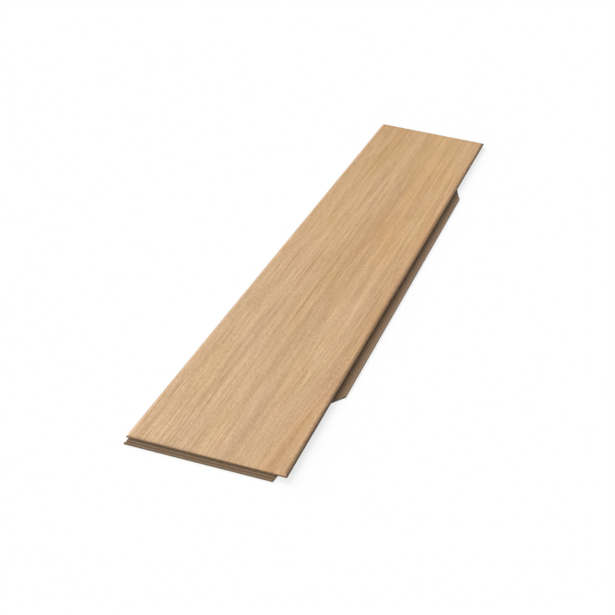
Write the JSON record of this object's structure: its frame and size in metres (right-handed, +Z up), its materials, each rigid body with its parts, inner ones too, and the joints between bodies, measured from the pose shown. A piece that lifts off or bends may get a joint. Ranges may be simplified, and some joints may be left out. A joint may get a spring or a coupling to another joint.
{
  "type": "laminate floor plank",
  "caption": "Oak decor laminate floor plank with rounded bevels, click-lock lips on one long side and one end, and tongues on the opposite edges.",
  "frame": {"origin": "on the underside, below the middle of the decor face", "axes": "+Z up through the decor face, +Y along the length towards the tongue end, +X across the width towards the long locking lip"},
  "size_m": [0.2026, 1.213, 0.008],
  "materials": {
    "laminate": "satin oak decor with fine straight grain over a brown fibreboard core"
  },
  "bodies": {
    "root": {"plank": "laminate"}
  },
  "joints": []
}
